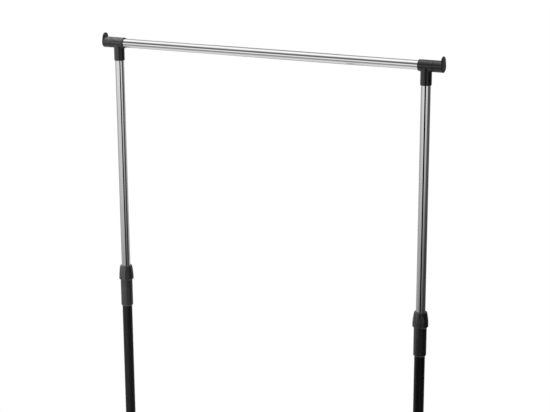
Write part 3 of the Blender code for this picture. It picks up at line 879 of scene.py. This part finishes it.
class RACK_OT_twist_locks(bpy.types.Operator):
    """Lock sleeves and their turning nuts"""
    bl_idname = "rack.twist_locks"
    bl_label = "Twist locks"

    def execute(self, context):
        locks = context.scene.rack_locks
        gap = context.scene.rack_fittings.gap
        nut_size = span("left_lock_nut")
        nut = nut_mesh(locks, nut_size.z, nut_size.x / 2)
        nut_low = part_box("left_lock_nut")[0].z
        sleeve_low, sleeve_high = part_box("left_lock_sleeve")
        shoulder = nut_low - gap - sleeve_low.z
        radius, neck = span("left_lock_sleeve").x / 2, locks.neck_radius
        neck_top = sleeve_high.z - sleeve_low.z
        bore, post = BLACK_RADIUS + gap, CHROME_RADIUS + gap
        stop = shoulder - locks.post_stop
        sleeve = turned([
            (neck, neck_top, 0.0004), (neck, shoulder, 0.0003), (radius, shoulder, 0.0007),
            (radius, locks.chamfer, 0.0012), (bore + SLEEVE_FOOT, 0, 0.0004), (bore, 0, 0.0002),
            (bore, stop, 0), (post, stop, 0), (post, neck_top, 0.0003),
        ])
        for side, _ in SIDES:
            x = middle(f"{side}_lower_post").x
            add_piece(context, f"{side}_lock_nut", nut, "moulded_plastic", at(x, 0, nut_low))
            add_piece(context, f"{side}_lock_sleeve", sleeve, "moulded_plastic", at(x, 0, sleeve_low.z))
        return {"FINISHED"}


class RACK_OT_foot_hubs(bpy.types.Operator):
    """Hubs that stand the posts on the feet, and joints that carry the base bars"""
    bl_idname = "rack.foot_hubs"
    bl_label = "Foot hubs and bar joints"

    def execute(self, context):
        fittings = context.scene.rack_fittings
        edge = fittings.edge
        bore = BLACK_RADIUS + fittings.gap
        low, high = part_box("left_foot_hub")
        half, mouth = (high.y - low.y) / 2, high.z - FOOT_AXIS.z
        hub = carved(
            [
                stock(FOOT_AXIS.z - low.z, -half, half, 2 * edge, ALONG_Y),
                stock(fittings.post_socket, 0, mouth, edge),
            ],
            [
                drill(bore, -half - CLEAR, half + CLEAR, ALONG_Y),
                drill(bore, bore + fittings.socket_web, mouth + CLEAR),
                screw_hole(fittings.post_socket, middle("left_hub_screw").z - FOOT_AXIS.z),
            ],
            fittings.skin,
        )
        for side, _ in SIDES:
            place = at(middle(f"{side}_lower_post").x, 0, FOOT_AXIS.z)
            add_piece(context, f"{side}_foot_hub", hub, "moulded_plastic", place)
        low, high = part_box("front_left_bar_joint")
        half, reach = (high.y - low.y) / 2, high.x - FOOT_AXIS.x
        joint = carved(
            [
                stock(FOOT_AXIS.z - low.z, -half, half, 2 * edge, ALONG_Y),
                stock(fittings.bar_socket, 0, reach, edge, ALONG_X),
            ],
            [
                drill(bore, -half - CLEAR, half + CLEAR, ALONG_Y),
                drill(BAR_RADIUS + fittings.gap, bore + fittings.bar_web, reach + CLEAR, ALONG_X),
            ],
            fittings.skin,
        )
        for corner, _, way in CORNERS:
            node = f"{corner}_bar_joint"
            place = at(way * abs(FOOT_AXIS.x), middle(node).y, FOOT_AXIS.z) @ facing(-way)
            add_piece(context, node, joint, "moulded_plastic", place)
        return {"FINISHED"}


class RACK_OT_end_caps(bpy.types.Operator):
    """Foot end caps that take the caster stems"""
    bl_idname = "rack.end_caps"
    bl_label = "End caps"

    def execute(self, context):
        fittings = context.scene.rack_fittings
        stem = middle("rear_left_caster_stem")
        low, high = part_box("rear_left_end_cap")
        radius = high.z - FOOT_AXIS.z
        start, nose = low.y - stem.y, high.y - stem.y
        boss_low = low.z - FOOT_AXIS.z
        tube_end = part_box("left_foot_tube")[1].y - stem.y + fittings.gap
        stem_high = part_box("rear_left_caster_stem")[1].z - FOOT_AXIS.z + fittings.gap
        body = [
            (0, nose, 0), (radius, nose, fittings.nose), (radius, start, fittings.edge), (0, start, 0),
        ]
        cap = carved(
            [
                turned(body, TOOL_FACETS, ALONG_Y),
                stock(fittings.cap_boss, boss_low, 0, fittings.edge),
            ],
            [
                drill(BLACK_RADIUS + fittings.gap, start - CLEAR, tube_end, ALONG_Y),
                drill(STEM_BORE, boss_low - CLEAR, stem_high),
            ],
            fittings.skin,
        )
        for corner, way, _ in CORNERS:
            centre = middle(f"{corner}_caster_stem")
            place = at(centre.x, centre.y, FOOT_AXIS.z) @ facing(way)
            add_piece(context, f"{corner}_end_cap", cap, "moulded_plastic", place)
        return {"FINISHED"}


def hood_mesh(casters, skin):
    """Caster hood about its swivel axis at floor height, its wheels towards +Y."""
    low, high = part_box("front_left_caster_hood")
    axle = middle("front_left_caster_axle")
    trail, height = axle.y - middle("front_left_caster_stem").y, axle.z
    half = (high.x - low.x) / 2
    well = WHEEL_RADIUS + casters.fender_gap
    fender = well + casters.fender
    across = at(0, trail, height) @ ALONG_X
    reach = fender + CLEAR
    return carved(
        [
            stock(fender, -half, half, HOOD_EDGE, across),
            stock(HOOD_BOSS, height, high.z, HOOD_BOSS_EDGE),
        ],
        [
            drill(well, casters.web / 2, half + CLEAR, across),
            drill(well, -half - CLEAR, -casters.web / 2, across),
            block((-reach, trail - reach, -reach), (reach, trail + reach, height - casters.skirt)),
            drill(casters.axle + RUN_GAP, -half, half, across),
            drill(HOOD_BORE, high.z - HOOD_BORE_DEPTH, high.z + CLEAR),
        ],
        skin,
    )


def stem_mesh():
    """Caster stem from its lower end: pin in the hood, flange, and grip sleeve in the end cap."""
    low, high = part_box("front_left_caster_stem")
    flange_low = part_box("front_left_caster_hood")[1].z + RUN_GAP - low.z
    flange_top, top = flange_low + STEM_FLANGE, high.z - low.z
    flange = (high.x - low.x) / 2
    grip = flange - STEM_LIP
    return turned([
        (0, top, 0), (grip, top, 0.0008), (grip, flange_top, 0.0002), (flange, flange_top, 0.0005),
        (flange, flange_low, 0.0003), (STEM_PIN, flange_low, 0), (STEM_PIN, 0, 0.0008), (0, 0, 0),
    ], TOOL_FACETS)


def wheel_mesh(casters):
    """Wheel from its inner face upwards: grooved tread, ribbed dish, domed hub cap."""
    width, radius = span("front_left_outer_wheel").x, WHEEL_RADIUS
    hub, rim = casters.hub_radius, radius - casters.rim
    cap, floor = width - HUB_CAP_DROP, width - casters.dish
    bore, depth = casters.axle + RUN_GAP, width - WHEEL_FACE
    groove = radius - casters.groove
    tread = []
    for share in TREAD_GROOVES:
        centre = width * share
        tread += [
            (radius, centre + GROOVE_MOUTH, 0.0002), (groove, centre + GROOVE_FLOOR, 0.0002),
            (groove, centre - GROOVE_FLOOR, 0.0002), (radius, centre - GROOVE_MOUTH, 0.0002),
        ]
    corners = [
        (0, cap, 0), (hub * HUB_FLAT, cap, 0.0012), (hub, cap - HUB_DOME, 0.0006), (hub, floor, 0.0005),
        (rim, floor, 0.0005), (rim, width - RIM_STEP, 0.0004), (rim + RIM_LIP, width, 0.0008),
        (radius, width, 0.0022), *tread, (radius, 0, 0.0016), (bore, 0, 0.0003), (bore, depth, 0),
        (0, depth, 0),
    ]

    def ribbed(reach, level, turn):
        on_dish = hub < reach < rim and floor - DISH_BELOW < level < floor + DISH_ABOVE
        if not on_dish:
            return reach, level
        rise = clamped((math.cos(casters.ribs * turn) - RIB_START) / RIB_RAMP)
        return reach, level + casters.rib_height * rise

    return turned(corners, FINE_FACETS, warp=ribbed)


class RACK_OT_casters(bpy.types.Operator):
    """Hoods, stems and twin wheels at the four corners"""
    bl_idname = "rack.casters"
    bl_label = "Casters"

    def execute(self, context):
        casters = context.scene.rack_casters
        hood = hood_mesh(casters, context.scene.rack_fittings.skin)
        wheel = wheel_mesh(casters)
        stem = stem_mesh()
        for corner, end, side in CORNERS:
            node = f"{corner}_caster_stem"
            centre, stem_low = middle(node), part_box(node)[0].z
            foot = at(centre.x, centre.y, 0)
            add_piece(context, f"{corner}_caster_hood", hood, "moulded_plastic", foot @ facing(-end))
            add_piece(context, node, stem, "zinc_steel", at(centre.x, centre.y, stem_low))
            for position, outward in (("outer", side), ("inner", -side)):
                node = f"{corner}_{position}_wheel"
                low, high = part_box(node)
                hub = middle(node)
                inner_x = low.x if outward > 0 else high.x
                place = at(inner_x, hub.y, hub.z) @ facing(outward) @ ALONG_X
                add_piece(context, node, wheel, "nylon", place)
        return {"FINISHED"}


class RACK_OT_screws(bpy.types.Operator):
    """Pan-head screws at the back of the fittings, with a cross recess"""
    bl_idname = "rack.screws"
    bl_label = "Screws"

    def execute(self, context):
        size = span(SCREWS[0])
        head, total = size.x / 2, size.y
        head_low = total - SCREW_HEAD
        body = turned([
            (0, total, 0), (head * SCREW_FLAT, total - SCREW_RISE, 0.001),
            (head, total - SCREW_CROWN, 0.0009), (head, head_low, 0.0002), (SCREW_SHANK, head_low, 0),
            (SCREW_SHANK, SCREW_TIP, 0), (0, 0, 0),
        ], TOOL_FACETS, ALONG_Y)
        narrow, wide = RECESS_WIDTH / 2, RECESS_LENGTH / 2
        slots = [
            block((-x, total - RECESS_DEPTH, -z), (x, total + CLEAR, z))
            for x, z in ((narrow, wide), (wide, narrow))
        ]
        screw = carved([body], slots)
        for node in SCREWS:
            centre = middle(node)
            place = at(centre.x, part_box(node)[0].y, centre.z)
            add_piece(context, node, screw, "zinc_steel", place)
        return {"FINISHED"}


class RACK_OT_inner_pieces(bpy.types.Operator):
    """Finish of the bushes, collets and axles, which keep their frame shapes"""
    bl_idname = "rack.inner_pieces"
    bl_label = "Inner pieces"

    def execute(self, context):
        for slot, nodes in INNER_PIECES.items():
            for node in nodes:
                materials = frame["nodes"][node].data.materials
                materials.clear()
                materials.append(finish(context.scene, slot))
        return {"FINISHED"}


# Stage

# Brightness of the studio in reflections. Below the horizon it goes by height in degrees: to the left
# of the camera, to its right, and on the far side of the rack
NEAR_LEFT = (
    (-90, 0.78), (-53, 0.78), (-43, 0.40), (-33, 0.36), (-24, 0.26), (-19.5, 0.19), (-17.5, 0.32),
    (-14, 0.56), (-9, 0.80), (0, 0.98),
)
NEAR_RIGHT = (
    (-90, 0.60), (-53, 0.60), (-43, 0.20), (-19, 0.04), (-15, 0.23), (-12, 0.50), (-9, 0.78),
    (-4, 0.25), (0, 0.10),
)
FAR_SIDE = ((-90, 0.78), (-53, 0.78), (-43, 0.40), (-20, 0.40), (-9, 0.52), (0, 0.50))
# Share of the far side's brightness, by the angle from the camera's side to directly behind the rack
BACKDROP = ((90, 1.0), (122, 1.0), (136, 0.45), (150, 0.55), (159, 2.0), (180, 2.0))
# Above the horizon it goes by the angle from the front over the top to the back, with less at the right
OVERHEAD = (
    (0, 0.98), (8, 0.98), (13, 0.15), (46, 0.15), (56, 0.55), (66, 1.05), (76, 1.15), (94, 1.15),
    (106, 0.95), (118, 0.55), (130, 0.32), (160, 0.30), (180, 0.45),
)
OVERHEAD_RIGHT = ((0, 0.10), (50, 0.10), (66, 0.90), (94, 0.90), (118, 0.40), (180, 0.40))
# Where these meet: across the view, towards the camera, and at the horizon in degrees
ACROSS_RANGE = (0.05, 0.35)
TOWARD_RANGE = (-0.05, 0.2)
HORIZON_RANGE = (-1.15, 1.15)
# Light from all round on dull surfaces, by height in degrees
FILL = ((-90, 0.10), (35, 0.10), (55, 1.0), (90, 1.0))
# Cards that show in the chrome: foot of the middle, way it runs in degrees, width, and brightness by
# height from the lower edge to the upper one
CARDS = (
    ("front_flag", (0.625, -1.24), 27, 0.84, ((0.10, 0.0), (1.42, 0.0))),
    ("post_flag", (0.34, -0.30), -15, 0.50, ((0.12, 0.0), (0.74, 0.0))),
    ("side_flag", (0.95, 0.425), 90, 1.25, ((0.42, 0.045), (0.85, 0.045), (1.15, 0.085), (1.60, 0.10))),
    ("side_flag_end", (0.95, 1.35), 90, 0.60, ((0.95, 0.10), (1.12, 0.10), (1.24, 0.25), (1.60, 0.25))),
    ("rear_flag", (-0.75, 1.50), 0, 0.50, ((0.10, 0.03), (2.00, 0.03))),
    ("rear_card", (-1.13, 1.60), 0, 1.74, ((0.05, 0.95), (2.00, 0.95))),
)
# Rays that do not see a card
HIDDEN_FROM = ("camera", "diffuse", "transmission", "volume_scatter", "shadow")
# Soft lamps: place, point that they look at, size, and the setting of their power
LAMPS = (
    ("key_softbox", (-1.10, -0.20, 2.00), (-0.4, 0, 1.2), 0.8, "key_power"),
    ("low_softbox", (-0.50, -0.75, 0.70), (-0.405, 0, 0.75), 0.6, "low_power"),
    ("top_softbox", (-0.5, 0.1, 3.0), (-0.3, 0, 1.0), 1.2, "top_power"),
)
# Share of the shadow's radius at which the floor starts to fade, and the camera's sensor in millimetres
FADE_START = 0.45
SENSOR_WIDTH = 36
WHITE = (1, 1, 1, 1)


def cleared(owner):
    """Empty node tree of a material or a world."""
    owner.use_nodes = True
    owner.node_tree.nodes.clear()
    return owner.node_tree


def ramp(tree, value, stops):
    """Brightness along a value, from stops in its own unit."""
    first, last = stops[0][0], stops[-1][0]
    node = add_node(tree, "ShaderNodeValToRGB", {"Fac": remap(tree, value, first, last)})
    elements = node.color_ramp.elements
    while len(elements) > 1:
        elements.remove(elements[-1])
    for index, (stop, level) in enumerate(stops):
        position = (stop - first) / (last - first)
        element = elements[0] if index == 0 else elements.new(position)
        element.position = position
        element.color = (level, level, level, 1)
    return node.outputs["Color"]


def shader_mix(tree, share, under, over):
    """Shader between two shaders."""
    return add_node(tree, "ShaderNodeMixShader", {0: share, 1: under, 2: over}).outputs[0]


def studio_world(stage):
    """White for the eye, soft fill for surfaces, and a studio with a bright ceiling for reflections."""
    world = bpy.data.worlds.new("studio")
    tree = cleared(world)
    world.cycles.sampling_method = "NONE"
    way = add_node(tree, "ShaderNodeTexCoord").outputs["Generated"]
    split = split_vector(tree, way)
    height = calc(tree, "DEGREES", calc(tree, "ARCSINE", split["Z"]))
    front = calc(tree, "MULTIPLY", split["Y"], -1.0)
    over = calc(tree, "DEGREES", calc(tree, "ARCTAN2", split["Z"], front))
    to_camera = (math.sin(stage.yaw), -math.cos(stage.yaw), 0)
    to_right = (math.cos(stage.yaw), math.sin(stage.yaw), 0)
    toward, across = (vector_calc(tree, "DOT_PRODUCT", way, axis) for axis in (to_camera, to_right))
    left, right, back = (ramp(tree, height, stops) for stops in (NEAR_LEFT, NEAR_RIGHT, FAR_SIDE))
    share = ramp(tree, calc(tree, "DEGREES", calc(tree, "ARCCOSINE", toward)), BACKDROP)
    far = vector_calc(tree, "MULTIPLY", back, share)
    aside = remap(tree, across, *ACROSS_RANGE)
    near = mixed(tree, aside, left, right)
    low = mixed(tree, remap(tree, toward, *TOWARD_RANGE), far, near)
    high = mixed(tree, aside, *(ramp(tree, over, stops) for stops in (OVERHEAD, OVERHEAD_RIGHT)))
    room = mixed(tree, remap(tree, height, *HORIZON_RANGE), low, high)
    path = add_node(tree, "ShaderNodeLightPath").outputs
    soft = {"Color": ramp(tree, height, FILL), "Strength": stage.fill}
    reflections, fill, white = (
        add_node(tree, "ShaderNodeBackground", inputs).outputs[0]
        for inputs in ({"Color": room}, soft, {"Color": WHITE})
    )
    lit = shader_mix(tree, path["Is Glossy Ray"], fill, reflections)
    plain = calc(tree, "MAXIMUM", path["Is Camera Ray"], path["Is Transmission Ray"])
    shown = shader_mix(tree, plain, lit, white)
    add_node(tree, "ShaderNodeOutputWorld", {"Surface": shown})
    return world


def floor_material(stage):
    """Pale floor that holds the rack's shadow, fades to white and throws little light back."""
    material = bpy.data.materials.new("pale_floor")
    tree = cleared(material)
    camera = add_node(tree, "ShaderNodeLightPath").outputs["Is Camera Ray"]
    speck = remap(tree, noise(tree, 260.0, 6.0), *NOISE_RANGE, 0.97, 1.0)
    pale = calc(tree, "MULTIPLY", speck, remap(tree, camera, *FULL_RANGE, stage.bounce, 1.0))
    tint = vector_calc(tree, "MULTIPLY", tuple(stage.floor), pale)
    paper = add_node(tree, "ShaderNodeBsdfDiffuse", {"Color": tint}).outputs[0]
    white = add_node(tree, "ShaderNodeEmission", {"Color": WHITE}).outputs[0]
    reach = vector_calc(tree, "LENGTH", own_place(tree))
    away = remap(tree, reach, FADE_START * stage.shadow_radius, stage.shadow_radius)
    shown = shader_mix(tree, calc(tree, "MULTIPLY", away, camera), paper, white)
    add_node(tree, "ShaderNodeOutputMaterial", {"Surface": shown})
    return material


def soft_lamp(scene, name, place, aim, size, watts):
    """Square soft lamp that looks at a point and shows in no reflection."""
    lamp = bpy.data.lights.new(name, "AREA")
    lamp.shape = "SQUARE"
    lamp.size = size
    lamp.energy = watts
    obj = bpy.data.objects.new(name, lamp)
    obj.location = place
    obj.rotation_euler = (Vector(aim) - Vector(place)).to_track_quat("-Z", "Y").to_euler()
    obj.visible_camera = False
    obj.visible_glossy = False
    scene.collection.objects.link(obj)


def studio_card(scene, name, foot, turn, width, levels):
    """Upright card that shows only in reflections."""
    bm = bmesh.new()
    side = Vector((math.cos(math.radians(turn)), math.sin(math.radians(turn)), 0)) * width / 2
    low, high = (Vector((*foot, height)) for height, _ in (levels[0], levels[-1]))
    outline = (low - side, low + side, high + side, high - side)
    bm.faces.new([bm.verts.new(corner) for corner in outline])
    card = bpy.data.objects.new(name, finished(bm))
    material = bpy.data.materials.new(name)
    tree = cleared(material)
    height = split_vector(tree, own_place(tree))["Z"]
    cloth = add_node(tree, "ShaderNodeEmission", {"Color": ramp(tree, height, levels)}).outputs[0]
    add_node(tree, "ShaderNodeOutputMaterial", {"Surface": cloth})
    card.data.materials.append(material)
    for ray in HIDDEN_FROM:
        setattr(card, f"visible_{ray}", False)
    scene.collection.objects.link(card)


class RACK_OT_stage(bpy.types.Operator):
    """Camera at the photograph's angle, soft light and a pale floor"""
    bl_idname = "rack.stage"
    bl_label = "Stage"

    def execute(self, context):
        scene = context.scene
        stage = scene.rack_stage
        scene.view_settings.view_transform = "Standard"
        scene.world = studio_world(stage)
        bm = bmesh.new()
        bmesh.ops.create_circle(bm, cap_ends=True, segments=FACETS, radius=stage.floor_radius)
        floor = bpy.data.objects.new("floor", finished(bm))
        floor.data.materials.append(floor_material(stage))
        floor.location.z = CAD_BOX[0][2]
        floor.visible_glossy = False
        scene.collection.objects.link(floor)
        for card in CARDS:
            studio_card(scene, *card)
        for name, place, aim, size, setting in LAMPS:
            soft_lamp(scene, name, place, aim, size, getattr(stage, setting))
        camera = bpy.data.objects.new("camera", bpy.data.cameras.new("camera"))
        camera.data.lens = stage.lens
        camera.data.sensor_width = SENSOR_WIDTH
        camera.data.sensor_fit = "HORIZONTAL"
        turn = Matrix.Rotation(stage.yaw, 4, "Z") @ Matrix.Rotation(math.pi / 2 - stage.pitch, 4, "X")
        camera.matrix_world = at(*stage.eye) @ turn @ Matrix.Rotation(stage.roll, 4, "Z")
        scene.collection.objects.link(camera)
        scene.camera = camera
        return {"FINISHED"}


class RACK_PT_panel(bpy.types.Panel):
    """Buttons that make the rack's pieces and stage, and boxes of their settings"""
    bl_idname = "RACK_PT_panel"
    bl_label = "Clothing rack"
    bl_space_type = "VIEW_3D"
    bl_region_type = "UI"
    bl_category = "Rack"

    def draw(self, context):
        for operator in OPERATORS:
            self.layout.operator(operator.bl_idname)
        for attribute, group in SETTINGS.items():
            box = self.layout.box()
            for name in group.__annotations__:
                box.prop(getattr(context.scene, attribute), name)


SETTINGS = {
    "rack_tubes": RackTubes, "rack_fittings": RackFittings, "rack_locks": RackLocks,
    "rack_casters": RackCasters, "rack_stage": RackStage,
}
OPERATORS = (
    RACK_OT_chrome_tubes, RACK_OT_rail_connectors, RACK_OT_end_hooks, RACK_OT_twist_locks,
    RACK_OT_black_tubes, RACK_OT_foot_hubs, RACK_OT_end_caps, RACK_OT_casters, RACK_OT_screws,
    RACK_OT_inner_pieces, RACK_OT_stage,
)
CLASSES = (*SETTINGS.values(), *OPERATORS, RACK_PT_panel)


def register():
    """Add the classes, and the settings to the scene."""
    for cls in CLASSES:
        bpy.utils.register_class(cls)
    for attribute, group in SETTINGS.items():
        setattr(bpy.types.Scene, attribute, bpy.props.PointerProperty(type=group))


def unregister():
    """Take the settings and the classes away again."""
    for attribute in SETTINGS:
        delattr(bpy.types.Scene, attribute)
    for cls in reversed(CLASSES):
        bpy.utils.unregister_class(cls)


def main():
    """Make every piece and the stage."""
    register()
    for operator in OPERATORS:
        getattr(bpy.ops.rack, operator.bl_idname.split(".")[1])()


if __name__ == "__main__":
    main()
